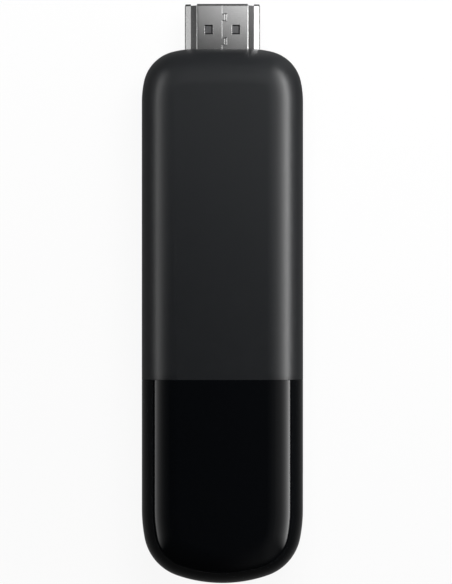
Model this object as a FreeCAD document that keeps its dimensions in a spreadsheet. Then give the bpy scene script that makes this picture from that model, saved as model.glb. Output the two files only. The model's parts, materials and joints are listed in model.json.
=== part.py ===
import FreeCAD, Part
import math
import os
from types import SimpleNamespace

import Sketcher

# Streaming stick, in millimetres. It lies on its back: +Z is the front face, +Y the end with the video plug
# and +X the side with the power inlet. The origin is under the middle of the whole stick, on the surface
# that it rests on.

Vector = FreeCAD.Vector

# Driving dimensions. Each one becomes a cell of the sheet, with its name as the alias.
sizes = {
    # body, seen from the front
    "body_width": 29.8,
    "body_length": 98.7,
    "body_height": 15.4,
    "front_round": 6.5,
    "back_round": 3.6,
    "tail_corner": 9.16,
    "tail_flank": 28.76,
    "tail_tip_angle": 19.3,
    "tail_flank_angle": 79.2,
    "head_shoulder": 17.22,
    "head_corner": 7.22,
    "head_flank": 17.85,
    "head_shoulder_angle": 14.5,
    "head_flank_angle": 77.9,
    "gloss_length": 37.6,
    # walls, tongue and lap joint
    "wall": 1.4,
    "joint_inset": 0.7,
    "joint_gap": 0.1,
    "tongue_depth": 0.9,
    "rebate_depth": 1.0,
    "lap_length": 2.0,
    # snap hooks
    "hook_first": 22.0,
    "hook_pitch": 24.0,
    "hook_count": 3,
    "hook_length": 4.0,
    "hook_reach": 0.3,
    "hook_height": 0.45,
    "hook_lead": 0.2,
    "hook_back": 0.12,
    "hook_drop": 0.85,
    # ribs
    "rib_thickness": 0.8,
    "ledge_overlap": 0.8,
    "ledge_first": 26.0,
    "ledge_pitch": 18.0,
    "ledge_count": 4,
    "long_rib_offset": 6.0,
    "cross_rib_first": 20.0,
    "cross_rib_pitch": 15.0,
    "cross_rib_count": 3,
    "post_radius": 1.0,
    "post_from_tail": 5.5,
    "core_bevel": 0.7,
    # video plug
    "plug_reach": 8.3,
    "plug_inside": 4.2,
    "plug_width": 13.9,
    "plug_height": 4.45,
    "plug_narrow_width": 9.65,
    "plug_ledge_width": 11.6,
    "plug_ledge_rise": 0.45,
    "plug_shoulder_drop": 0.34,
    "plug_bend": 0.45,
    "plug_sheet": 0.3,
    "plug_gap": 0.1,
    "plug_lip": 0.12,
    "plug_relief": 0.35,
    "window_width": 1.46,
    "window_length": 1.7,
    "window_offset": 2.51,
    "window_from_tip": 4.65,
    "seam_offset": 0.05,
    "seam_gap": 0.06,
    "seam_tab_reach": 0.95,
    "seam_tab_neck": 0.9,
    "seam_tab_head": 1.2,
    "seam_tab_first": 2.47,
    "seam_tab_pitch": 4.46,
    "strap_length": 3.4,
    "strap_height": 1.35,
    "strap_pin_length": 1.0,
    "strap_pin_rise": 0.7,
    # plug insulator and contacts
    "insulator_recess": 0.6,
    "insulator_tail": 1.5,
    "tongue_slot_width": 10.0,
    "tongue_slot_depth": 7.4,
    "contact_width": 0.4,
    "contact_sheet": 0.2,
    "contact_pitch": 1.0,
    "contact_recess": 0.5,
    "contact_tail": 1.6,
    "contact_bump": 0.2,
    "contact_nose": 1.2,
    "contact_ramp": 1.0,
    "upper_contact_count": 9,
    "lower_contact_count": 10,
    # power inlet
    "inlet_from_tail": 16.4,
    "inlet_depth": 5.0,
    "inlet_recess": 0.7,
    "inlet_width": 7.5,
    "inlet_narrow_width": 5.9,
    "inlet_height": 2.45,
    "inlet_shoulder_drop": 0.35,
    "inlet_bend": 0.45,
    "inlet_sheet": 0.25,
    "inlet_flare": 0.25,
    "inlet_gap": 0.15,
    "inlet_wing": 1.2,
    "inlet_base": 1.2,
    "inlet_tongue_width": 3.8,
    "inlet_tongue_thickness": 0.55,
    "inlet_tongue_lift": 0.15,
    "inlet_contact_width": 0.35,
    "inlet_contact_pitch": 0.65,
    "inlet_contact_count": 5,
    "inlet_contact_sheet": 0.15,
    "inlet_contact_tail": 1.0,
    # board
    "board_thickness": 1.0,
    "board_inset": 2.0,
    "board_gap": 0.2,
    "screw_shank": 1.6,
    "screw_length": 4.6,
    "screw_head": 3.2,
    "screw_head_height": 0.8,
    "screw_gap": 0.1,
    "boss_wall": 1.2,
    "front_screw_from_side": 3.1,
    "front_screw_from_head": 5.9,
    "tail_screw_from_side": 3.5,
    "tail_screw_from_tail": 16.0,
    # shield cans, pads and heat spreaders
    "can_from_side": 1.4,
    "can_from_head": 12.9,
    "can_from_tail": 40.5,
    "can_sheet": 0.2,
    "can_flange": 0.9,
    "can_skirt": 1.0,
    "pad_on_chip": 0.5,
    "pad_on_can": 1.0,
    "pad_margin": 3.0,
    "spreader_inset": 1.0,
    "spreader_overhang": 2.0,
    "spreader_thickness": 1.0,
    "spreader_corner": 2.0,
    # chips
    "processor_width": 14.0,
    "processor_height": 0.9,
    "chip_chamfer": 0.12,
    "memory_length": 12.0,
    "memory_height": 0.8,
    "memory_split": 0.8,
    "memory_from_can": 2.7,
    "storage_width": 11.5,
    "storage_length": 13.0,
    "storage_height": 1.0,
    "storage_shift": 2.0,
    "power_chip_width": 5.0,
    "power_chip_height": 0.85,
    "power_chip_offset": 2.6,
    "power_chip_from_tail": 15.5,
    "inductor_width": 2.5,
    "inductor_length": 3.0,
    "inductor_height": 1.2,
    "inductor_offset": -3.0,
    "inductor_from_tail": 20.0,
    "inductor_pitch": 4.2,
    "inductor_count": 3,
    "crystal_width": 2.5,
    "crystal_length": 3.2,
    "crystal_height": 0.7,
    "crystal_offset": 8.6,
    "filter_width": 1.25,
    "filter_length": 2.0,
    "filter_height": 0.6,
    "filter_pitch": 2.4,
    "filter_count": 4,
    "filter_from_head": 4.3,
    "capacitor_width": 0.6,
    "capacitor_length": 1.1,
    "capacitor_height": 0.6,
    "capacitor_pitch": 1.8,
    "capacitor_from_can": 2.1,
    "capacitor_from_front": 4.5,
    "capacitor_count": 7,
    "wireless_width": 13.0,
    "wireless_length": 11.0,
    "wireless_height": 1.7,
    "wireless_from_tail": 30.0,
    "antenna_from_side": 3.7,
    "antenna_width": 2.6,
    "antenna_lift": 2.2,
    "antenna_sheet": 0.25,
    "antenna_leg": 1.2,
    "antenna_split": 1.2,
    "antenna_from_tail": 6.2,
}


class Size:
    """A number together with the sheet expression that gives it."""

    def __init__(self, value, text):
        self.value = value
        self.text = text

    def join(self, other, sign, value):
        return Size(value, "(%s %s %s)" % (self.text, sign, other.text))

    def __add__(self, other):
        other = plain(other)
        return self.join(other, "+", self.value + other.value)

    def __sub__(self, other):
        other = plain(other)
        return self.join(other, "-", self.value - other.value)

    def __mul__(self, other):
        other = plain(other)
        return self.join(other, "*", self.value * other.value)

    def __truediv__(self, other):
        other = plain(other)
        return self.join(other, "/", self.value / other.value)

    def __radd__(self, other):
        return plain(other) + self

    def __rsub__(self, other):
        return plain(other) - self

    def __rmul__(self, other):
        return plain(other) * self

    def __neg__(self):
        return plain(0) - self


def plain(number):
    return number if isinstance(number, Size) else Size(float(number), repr(float(number)))


def sine(angle):
    return Size(math.sin(math.radians(angle.value)), "sin(%s)" % angle.text)


def cosine(angle):
    return Size(math.cos(math.radians(angle.value)), "cos(%s)" % angle.text)


document = FreeCAD.newDocument("streaming_stick")
sheet = document.addObject("Spreadsheet::Sheet", "sizes")
for row, (alias, value) in enumerate(sizes.items(), start=1):
    sheet.set("A%d" % row, alias.replace("_", " "))
    sheet.set("B%d" % row, str(value))
    sheet.setAlias("B%d" % row, alias)
document.recompute()

at = SimpleNamespace(**{alias: Size(float(value), "sizes." + alias) for alias, value in sizes.items()})
nodes = []


# Levels and stations that several pieces share

half_width = at.body_width / 2
tail = -(at.body_length + at.plug_reach) / 2
head = tail + at.body_length
plug_tip = head + at.plug_reach
middle = at.body_height / 2
split = tail + at.gloss_length
plug_back = head - at.wall - at.plug_inside
insulator_back = plug_back - at.insulator_tail
board_low = middle - at.board_thickness / 2
board_high = middle + at.board_thickness / 2
board_head = insulator_back - at.board_gap
board_side = half_width - at.board_inset
inlet_middle = tail + at.inlet_from_tail
inlet_mouth = half_width - at.inlet_recess
inlet_back = inlet_mouth - at.inlet_depth
front_can_top = board_high + at.processor_height + at.pad_on_chip + at.can_sheet
front_spreader_low = front_can_top + at.pad_on_can
front_spreader_high = front_spreader_low + at.spreader_thickness
rear_can_top = board_low - at.storage_height - at.pad_on_chip - at.can_sheet
rear_spreader_high = rear_can_top - at.pad_on_can
rear_spreader_low = rear_spreader_high - at.spreader_thickness
front_screw_x = board_side - at.front_screw_from_side
front_screw_y = board_head - at.front_screw_from_head
tail_screw_x = board_side - at.tail_screw_from_side
can_width = (board_side - at.can_from_side) * 2
can_front = board_head - at.can_from_head
can_rear = tail + at.can_from_tail
can_middle = (can_front + can_rear) / 2
spreader_width = can_width - at.spreader_inset * 2
spreader_length = can_front - can_rear + at.spreader_overhang * 2
# The processor and the memory share the can's length with three equal gaps.
chip_gap = (can_front - can_rear - at.processor_width - at.memory_length) / 3
processor_middle = can_front - chip_gap - at.processor_width / 2
memory_middle = can_rear + chip_gap + at.memory_length / 2
wireless_middle = tail + at.wireless_from_tail
post_y = tail + at.post_from_tail
beyond = at.body_length
overshoot = plain(1)


# Helpers for sketches and features

def bind(thing, target, size):
    thing.setExpression(target, plain(size).text)


def new_body(name):
    body = document.addObject("PartDesign::Body", name)
    body.AllowCompound = True
    return body


def origin_part(body, role):
    return [item for item in body.Origin.OriginFeatures if item.Role == role][0]


def body_sketch(body, plane, level, name):
    sketch = body.newObject("Sketcher::SketchObject", name)
    sketch.AttachmentSupport = [(origin_part(body, plane + "_Plane"), "")]
    sketch.MapMode = "FlatFace"
    # The XZ plane looks along -Y, so its offset counts the other way.
    bind(sketch, "AttachmentOffset.Base.z", -level if plane == "XZ" else level)
    return sketch


def loop(sketch, corners, arcs=None, bends=None):
    """Closed loop, counter-clockwise. arcs: edge number to radius. bends: corner number to fillet radius."""
    arcs = arcs or {}
    bends = bends or {}
    first = len(sketch.Geometry)
    points = [Vector(across.value, up.value, 0) for across, up in corners]
    for index, start in enumerate(points):
        end = points[(index + 1) % len(points)]
        if index in arcs:
            sketch.addGeometry(arc_between(start, end, arcs[index].value))
        else:
            sketch.addGeometry(Part.LineSegment(start, end))
    for index, (across, up) in enumerate(corners):
        edge = first + index
        after = first + (index + 1) % len(corners)
        sketch.addConstraint(Sketcher.Constraint("Coincident", edge, 2, after, 1))
        hold(sketch, Sketcher.Constraint("DistanceX", -1, 1, edge, 1, across.value), "across%d" % edge, across)
        hold(sketch, Sketcher.Constraint("DistanceY", -1, 1, edge, 1, up.value), "up%d" % edge, up)
        if index in arcs:
            hold(sketch, Sketcher.Constraint("Radius", edge, arcs[index].value), "radius%d" % edge, arcs[index])
    for index, radius in bends.items():
        edge = first + (index - 1) % len(corners)
        made = len(sketch.Geometry)
        sketch.fillet(edge, 2, radius.value, True, True)
        hold(sketch, Sketcher.Constraint("Radius", made, radius.value), "bend%d" % made, radius)


def arc_between(start, end, radius):
    half = (end - start) / 2
    rise = math.sqrt(radius ** 2 - half.Length ** 2)
    centre = start + half + Vector(-half.y, half.x, 0).normalize() * rise
    first = math.atan2(start.y - centre.y, start.x - centre.x)
    last = math.atan2(end.y - centre.y, end.x - centre.x)
    return Part.ArcOfCircle(Part.Circle(centre, Vector(0, 0, 1), radius), first, last)


def hold(sketch, constraint, name, size):
    constraint.Name = name
    sketch.addConstraint(constraint)
    bind(sketch, "Constraints." + name, size)


def rectangle(low_across, high_across, low_up, high_up):
    return [(low_across, low_up), (high_across, low_up), (high_across, high_up), (low_across, high_up)]


def pad(body, sketch, length, name, midplane=False, backwards=False):
    feature = body.newObject("PartDesign::Pad", name)
    feature.Profile = sketch
    feature.Midplane = midplane
    feature.Reversed = backwards
    bind(feature, "Length", length)
    document.recompute()
    return feature


def pocket(body, sketch, depth, name, backwards=False):
    before = body.Shape.Volume
    feature = body.newObject("PartDesign::Pocket", name)
    feature.Profile = sketch
    feature.Reversed = backwards
    bind(feature, "Length", depth)
    document.recompute()
    if feature.Shape.Volume >= before:
        raise RuntimeError("%s removes nothing" % name)
    return feature


def edges_where(shape, test):
    return ["Edge%d" % number for number, edge in enumerate(shape.Edges, start=1) if test(edge.BoundBox)]


def at_level(level):
    return lambda box: abs(box.ZMin - level.value) < 1e-3 and abs(box.ZMax - level.value) < 1e-3


def dress(body, kind, feature, size_name, size, test, name):
    dressed = body.newObject("PartDesign::" + kind, name)
    dressed.Base = (feature, edges_where(feature.Shape, test))
    bind(dressed, size_name, size)
    document.recompute()
    return dressed


def repeat(body, features, axis, pitch, count, name):
    pattern = body.newObject("PartDesign::LinearPattern", name)
    pattern.Originals = features
    pattern.Direction = (origin_part(body, axis + "_Axis"), [""])
    pattern.Reversed = True
    pattern.Mode = "Spacing"
    bind(pattern, "Offset", pitch)
    bind(pattern, "Occurrences", count)
    body.Tip = pattern
    document.recompute()
    return pattern


def mirror(body, features, plane, name):
    mirrored = body.newObject("PartDesign::Mirrored", name)
    mirrored.Originals = features
    mirrored.MirrorPlane = (origin_part(body, plane + "_Plane"), [""])
    body.Tip = mirrored
    document.recompute()
    return mirrored


def bar(body, spans, name):
    """Pad of a rectangle on a level of the body. spans: low and high along X, Y and Z."""
    (low_x, high_x), (low_y, high_y), (low_z, high_z) = spans
    sketch = body_sketch(body, "XY", low_z, name + "_sketch")
    loop(sketch, rectangle(low_x, high_x, low_y, high_y))
    return pad(body, sketch, high_z - low_z, name)


def bars_both_sides(body, spans, name):
    span_x, span_y, span_z = spans
    return [bar(body, (span_x, span_y, span_z), name + "_right"),
            bar(body, (flipped(span_x), span_y, span_z), name + "_left")]


def flipped(span):
    return (-span[1], -span[0])


def box(name, spans):
    solid = document.addObject("Part::Box", name)
    for axis, side, (low, high) in zip("xyz", ("Length", "Width", "Height"), spans):
        bind(solid, "Placement.Base." + axis, low)
        bind(solid, side, high - low)
    return solid


def boolean(kind, name, base, tool):
    result = document.addObject("Part::" + kind, name)
    result.Base = base
    result.Tool = tool
    document.recompute()
    return result


def cut(name, base, *tools):
    """Cut by tools that stay clear of each other."""
    tool = tools[0] if len(tools) == 1 else group(name + "_tools", tools)
    return boolean("Cut", name, base, tool)


def fuse(name, *pieces):
    result = document.addObject("Part::MultiFuse", name)
    result.Shapes = list(pieces)
    document.recompute()
    return result


def group(name, pieces):
    result = document.addObject("Part::Compound", name)
    result.Links = list(pieces)
    return result


def node(label, thing):
    thing.Label = label
    nodes.append(thing)
    document.recompute()
    return thing


def centred(middle_size, width):
    return (middle_size - width / 2, middle_size + width / 2)


zero = plain(0)


# Outline of the stick, drawn in by an inset

def stick_outline(inset):
    """Corners and arc radii of the outline, counter-clockwise from the right end of the tail's tip arc."""
    tip_sine = sine(at.tail_tip_angle)
    tip_cosine = cosine(at.tail_tip_angle)
    flank_sine = sine(at.tail_flank_angle)
    flank_cosine = cosine(at.tail_flank_angle)
    tip = (half_width - at.tail_corner * (flank_sine - tip_sine) - at.tail_flank * (1 - flank_sine)) / tip_sine
    corner_x = (tip - at.tail_corner) * tip_sine
    corner_y = tail + tip - (tip - at.tail_corner) * tip_cosine
    flank_y = corner_y - (at.tail_corner - at.tail_flank) * flank_cosine

    shoulder_sine = sine(at.head_shoulder_angle)
    shoulder_cosine = cosine(at.head_shoulder_angle)
    side_sine = sine(at.head_flank_angle)
    side_cosine = cosine(at.head_flank_angle)
    flat = (half_width - at.head_shoulder * shoulder_sine - at.head_corner * (side_sine - shoulder_sine)
            - at.head_flank * (1 - side_sine))
    shoulder_y = head - at.head_shoulder
    bow_x = flat + (at.head_shoulder - at.head_corner) * shoulder_sine
    bow_y = shoulder_y + (at.head_shoulder - at.head_corner) * shoulder_cosine
    side_y = bow_y + (at.head_corner - at.head_flank) * side_cosine

    right = [
        ((tip - inset) * tip_sine, tail + tip - (tip - inset) * tip_cosine),
        (corner_x + (at.tail_corner - inset) * flank_sine, corner_y - (at.tail_corner - inset) * flank_cosine),
        (half_width - inset, flank_y),
        (half_width - inset, side_y),
        (bow_x + (at.head_corner - inset) * side_sine, bow_y + (at.head_corner - inset) * side_cosine),
        (flat + (at.head_shoulder - inset) * shoulder_sine, shoulder_y + (at.head_shoulder - inset) * shoulder_cosine),
        (flat, head - inset),
    ]
    left = [(-across, up) for across, up in reversed(right)]
    bows = [at.tail_corner, at.tail_flank, None, at.head_flank, at.head_corner, at.head_shoulder]
    radii = bows + [None] + bows[::-1] + [tip]
    arcs = {index: radius - inset for index, radius in enumerate(radii) if radius is not None}
    return right + left, arcs


def block(name, inset, low, high, rounded=None, bevelled=None):
    """Solid of the outline between two levels. rounded, bevelled: level and size of the rim's dressing."""
    body = new_body(name)
    sketch = body_sketch(body, "XY", low, name + "_outline")
    loop(sketch, *stick_outline(inset))
    solid = pad(body, sketch, high - low, name + "_pad")
    if rounded is not None:
        dress(body, "Fillet", solid, "Radius", rounded[1] - inset, at_level(rounded[0]), name + "_round")
    if bevelled is not None:
        size = (bevelled[1] - inset) * at.core_bevel
        dress(body, "Chamfer", solid, "Size", size, at_level(bevelled[0]), name + "_bevel")
    return body


# Video plug: one folded sheet around an insulator, with 19 contacts

def plug_outline(name, station):
    sketch = document.addObject("Sketcher::SketchObject", name)
    sketch.Placement = FreeCAD.Placement(Vector(), FreeCAD.Rotation(Vector(1, 0, 0), 90))
    bind(sketch, "Placement.Base.y", station)
    bind(sketch, "Placement.Base.z", middle)
    half_height = at.plug_height / 2
    right = [
        (at.plug_width / 2, -half_height),
        (at.plug_width / 2, -at.plug_shoulder_drop),
        (at.plug_ledge_width / 2, at.plug_ledge_rise),
        (at.plug_narrow_width / 2, half_height),
    ]
    left = [(-across, up) for across, up in reversed(right)]
    loop(sketch, right + left, bends={corner: at.plug_bend for corner in (0, 1, 3, 4, 6, 7)})
    return sketch


def drawn_out(name, outline, length):
    """Solid from an outline that stands across Y or X, drawn back from the way it faces."""
    solid = document.addObject("Part::Extrusion", name)
    solid.Base = outline
    solid.DirMode = "Normal"
    solid.Solid = True
    bind(solid, "LengthFwd", length)
    return solid


def offset(name, outline, distance):
    result = document.addObject("Part::Offset2D", name)
    result.Source = outline
    bind(result, "Value", distance)
    document.recompute()
    return result


plug_rim = plug_outline("plug_rim", plug_tip)
plug_bore = offset("plug_bore", plug_rim, -at.plug_sheet)
plug_length = plug_tip - plug_back


def seam_corners():
    """Slit of the folded sheet, seen from the front, with two dovetails that reach over to the right."""
    half_gap = at.seam_gap / 2
    left_side = [(-at.seam_offset - half_gap, plug_back - overshoot)]
    right_side = [(-at.seam_offset + half_gap, plug_back - overshoot)]
    far_tab = plug_tip - at.seam_tab_first
    for centre in (far_tab - at.seam_tab_pitch, far_tab):
        reach = at.seam_tab_reach
        neck = at.seam_tab_neck / 2
        wide = at.seam_tab_head / 2
        left_side += [
            (-at.seam_offset - half_gap, centre - neck + half_gap),
            (reach - half_gap, centre - wide + half_gap),
            (reach - half_gap, centre + wide - half_gap),
            (-at.seam_offset - half_gap, centre + neck - half_gap),
        ]
        right_side += [
            (-at.seam_offset + half_gap, centre - neck - half_gap),
            (reach + half_gap, centre - wide - half_gap),
            (reach + half_gap, centre + wide + half_gap),
            (-at.seam_offset + half_gap, centre + neck + half_gap),
        ]
    left_side.append((-at.seam_offset - half_gap, plug_tip + overshoot))
    right_side.append((-at.seam_offset + half_gap, plug_tip + overshoot))
    return right_side + left_side[::-1]


def make_plug_shell():
    tube = drawn_out("plug_tube", plug_rim, plug_length)
    document.recompute()
    lip = new_body("plug_lip_body")
    lip.BaseFeature = tube
    document.recompute()
    dress(lip, "Chamfer", lip.Group[0], "Size", at.plug_lip,
          lambda box: box.YMin > plug_tip.value - 1e-3, "plug_lip_chamfer")
    bore = drawn_out("plug_bore_solid", plug_bore, plug_length)

    seam = new_body("plug_seam")
    seam_sketch = body_sketch(seam, "XY", middle, "plug_seam_sketch")
    loop(seam_sketch, seam_corners())
    pad(seam, seam_sketch, at.plug_height, "plug_seam_pad")

    windows = new_body("plug_windows")
    window = bar(windows, (centred(at.window_offset, at.window_width),
                           centred(plug_tip - at.window_from_tip, at.window_length),
                           centred(middle, at.plug_height * 2)), "plug_window")
    mirror(windows, [window], "YZ", "plug_window_pair")

    reliefs = new_body("plug_reliefs")
    relief = bar(reliefs, ((at.plug_narrow_width / 2, at.plug_ledge_width / 2),
                           (plug_tip - at.plug_relief, plug_tip + at.plug_relief),
                           (middle, middle + at.plug_height)), "plug_relief_bar")
    mirror(reliefs, [relief], "YZ", "plug_relief_pair")

    # A strap on each side runs back under the board's edge, and its pin goes up through a slot of the board.
    straps = new_body("plug_straps")
    side = (at.plug_width / 2 - at.plug_sheet, at.plug_width / 2)
    strap = bar(straps, (side, (plug_back - at.strap_length, plug_back),
                         (board_low - at.strap_height, board_low)), "plug_strap")
    pin = bar(straps, (side, (plug_back - at.strap_length, plug_back - at.strap_length + at.strap_pin_length),
                       (board_low, board_high + at.strap_pin_rise)), "plug_pin")
    mirror(straps, [strap, pin], "YZ", "plug_strap_pair")

    shell = cut("plug_shell", lip, fuse("plug_cuts", bore, seam, windows, reliefs))
    node("hdmi_shell", fuse("plug_shell_with_straps", shell, straps))


def make_plug_insides():
    upper = middle + at.board_thickness / 2
    lower = middle - at.board_thickness / 2
    front = plug_tip - at.contact_recess - at.insulator_recess
    rows = []
    for name, face, thickness, count in (("upper_contacts", upper, at.contact_sheet, at.upper_contact_count),
                                         ("lower_contacts", lower, -at.contact_sheet, at.lower_contact_count)):
        row = new_body(name)
        sketch = body_sketch(row, "YZ", at.contact_pitch * (count - 1) / 2, name + "_profile")
        back = insulator_back - at.contact_tail
        bump = -at.contact_bump if thickness.value > 0 else at.contact_bump
        wall_side = [(back, face + thickness), (front, face + thickness)]
        nose = front - at.contact_nose
        free_side = [(front, face + bump), (nose, face + bump), (nose - at.contact_ramp, face), (back, face)]
        corners = wall_side + free_side
        loop(sketch, corners if thickness.value < 0 else corners[::-1])
        blade = pad(row, sketch, at.contact_width, name + "_blade", midplane=True)
        repeat(row, [blade], "X", at.contact_pitch, count, name + "_row")
        rows.append(row)
    contacts = node("hdmi_contacts", group("plug_contacts", rows))

    rim = plug_outline("insulator_rim", plug_tip - at.insulator_recess)
    core = offset("insulator_outline", rim, -at.plug_sheet)
    solid = drawn_out("insulator_solid", core, plug_tip - at.insulator_recess - insulator_back)
    slot = box("tongue_slot", (centred(zero, at.tongue_slot_width),
                               (plug_tip - at.insulator_recess - at.tongue_slot_depth, plug_tip),
                               centred(middle, at.board_thickness + at.contact_sheet * 2)))
    node("hdmi_insulator", cut("insulator", solid, fuse("insulator_cuts", slot, contacts)))


make_plug_shell()
make_plug_insides()


# Power inlet in the right-hand side

def inlet_outline(name, station):
    sketch = document.addObject("Sketcher::SketchObject", name)
    sketch.Placement = FreeCAD.Placement(Vector(), FreeCAD.Rotation(Vector(1, 1, 1), 120))
    bind(sketch, "Placement.Base.x", station)
    bind(sketch, "Placement.Base.y", inlet_middle)
    bind(sketch, "Placement.Base.z", middle)
    half_height = at.inlet_height / 2
    right = [
        (at.inlet_narrow_width / 2, -half_height),
        (at.inlet_width / 2, -at.inlet_shoulder_drop),
        (at.inlet_width / 2, half_height),
    ]
    left = [(-across, up) for across, up in reversed(right)]
    loop(sketch, right + left, bends={corner: at.inlet_bend for corner in (0, 2, 3, 5)})
    return sketch


inlet_rim = inlet_outline("inlet_rim", inlet_mouth)


def inlet_solid(name, growth, length, station=None):
    rim = inlet_rim if station is None else inlet_outline(name + "_rim", station)
    outline = offset(name + "_outline", rim, growth)
    solid = drawn_out(name, outline, length)
    solid.Reversed = True
    return solid


def make_inlet():
    tube = drawn_out("inlet_tube", inlet_rim, at.inlet_depth)
    tube.Reversed = True
    flare = inlet_solid("inlet_flare_solid", at.inlet_flare, at.inlet_sheet)
    bore = inlet_solid("inlet_bore", -at.inlet_sheet, at.inlet_depth)
    wings = new_body("inlet_wings")
    spans = (at.inlet_width / 2 - at.inlet_bend, at.inlet_width / 2 + at.inlet_wing)
    for name, start in (("front_wing", inlet_back), ("rear_wing", inlet_back + at.inlet_depth / 2)):
        for side, (low, high) in (("a", spans), ("b", (-spans[1], -spans[0]))):
            bar(wings, ((start, start + at.inlet_wing), (inlet_middle + low, inlet_middle + high),
                        (board_high, board_high + at.inlet_sheet)), "%s_%s" % (name, side))
    shell = cut("inlet_shell", fuse("inlet_sheet", tube, flare, wings), bore)
    node("usb_shell", shell)

    base = inlet_solid("inlet_base_solid", -at.inlet_sheet, at.inlet_base, inlet_back + at.inlet_base)
    tongue_low = middle + at.inlet_tongue_lift
    tongue = box("inlet_tongue", ((inlet_back, inlet_mouth - at.inlet_sheet * 2),
                                  centred(inlet_middle, at.inlet_tongue_width),
                                  (tongue_low, tongue_low + at.inlet_tongue_thickness)))
    block_solid = fuse("inlet_tongue_block", base, tongue)

    contacts = new_body("inlet_contacts")
    first = inlet_middle + at.inlet_contact_pitch * (at.inlet_contact_count - 1) / 2
    sketch = body_sketch(contacts, "XZ", first, "inlet_contact_profile")
    sheet_size = at.inlet_contact_sheet
    front = inlet_mouth - at.inlet_sheet * 4
    rise = inlet_back - at.inlet_gap / 2
    tail_end = rise - sheet_size - at.inlet_contact_tail
    loop(sketch, [
        (front, tongue_low - sheet_size),
        (front, tongue_low),
        (rise, tongue_low),
        (rise, board_high + sheet_size),
        (tail_end, board_high + sheet_size),
        (tail_end, board_high),
        (rise - sheet_size, board_high),
        (rise - sheet_size, tongue_low - sheet_size),
    ])
    blade = pad(contacts, sketch, at.inlet_contact_width, "inlet_contact", midplane=True)
    repeat(contacts, [blade], "Y", at.inlet_contact_pitch, at.inlet_contact_count, "inlet_contact_row")
    node("usb_contacts", contacts)
    node("usb_tongue", cut("inlet_tongue_piece", block_solid, contacts))


make_inlet()


# Covers: a rear tray, a matte front cover and a gloss front cover, which hook and tongue into the tray

def snap_hooks(name, growth):
    body = new_body(name)
    face = half_width - at.joint_inset - at.joint_gap
    low = middle - at.hook_drop - growth
    high = middle - at.hook_drop + at.hook_height + growth
    reach = face + at.hook_reach + growth
    profile = [
        (face - at.joint_gap, low),
        (face, low),
        (reach, low + at.hook_lead),
        (reach, high - at.hook_back),
        (face, high),
        (face - at.joint_gap, high),
    ]
    hooks = []
    for side, corners in (("right", profile), ("left", [(-across, up) for across, up in profile])):
        sketch = body_sketch(body, "XZ", at.hook_first, "%s_%s_profile" % (name, side))
        loop(sketch, corners)
        hooks.append(pad(body, sketch, at.hook_length + growth * 2, "%s_%s" % (name, side), midplane=True))
    repeat(body, hooks, "Y", at.hook_pitch, at.hook_count, name + "_rows")
    return body


def cover_ribs(name, ledge_levels, rib_levels):
    """Short ribs from the side walls, which hold the board's edges, and a grid under the heat spreader."""
    body = new_body(name)
    side_ribs = bars_both_sides(body, ((board_side - at.ledge_overlap, half_width),
                                       centred(at.ledge_first, at.rib_thickness), ledge_levels), name + "_ledge")
    repeat(body, side_ribs, "Y", at.ledge_pitch, at.ledge_count, name + "_ledge_rows")
    grid = new_body(name + "_grid")
    long_rib = bar(grid, (centred(at.long_rib_offset, at.rib_thickness),
                          centred(can_middle, spreader_length), rib_levels), name + "_long")
    mirror(grid, [long_rib], "YZ", name + "_long_pair")
    cross = new_body(name + "_cross")
    cross_rib = bar(cross, (centred(zero, spreader_width), centred(at.cross_rib_first, at.rib_thickness),
                            rib_levels), name + "_cross_rib")
    repeat(cross, [cross_rib], "Y", at.cross_rib_pitch, at.cross_rib_count, name + "_cross_row")
    return fuse(name + "_all", body, grid, cross)


def screw_places():
    return [
        (front_screw_x, front_screw_y),
        (-front_screw_x, front_screw_y),
        (-tail_screw_x, tail + at.tail_screw_from_tail),
    ]


def rod(name, place, radius, low, high):
    across, along = place
    solid = document.addObject("Part::Cylinder", name)
    bind(solid, "Placement.Base.x", across)
    bind(solid, "Placement.Base.y", along)
    bind(solid, "Placement.Base.z", low)
    bind(solid, "Radius", radius)
    bind(solid, "Height", high - low)
    return solid


def rods(name, radius, low, high):
    return fuse(name, *[rod("%s_%d" % (name, number), place, radius, low, high)
                        for number, place in enumerate(screw_places(), start=1)])


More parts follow.
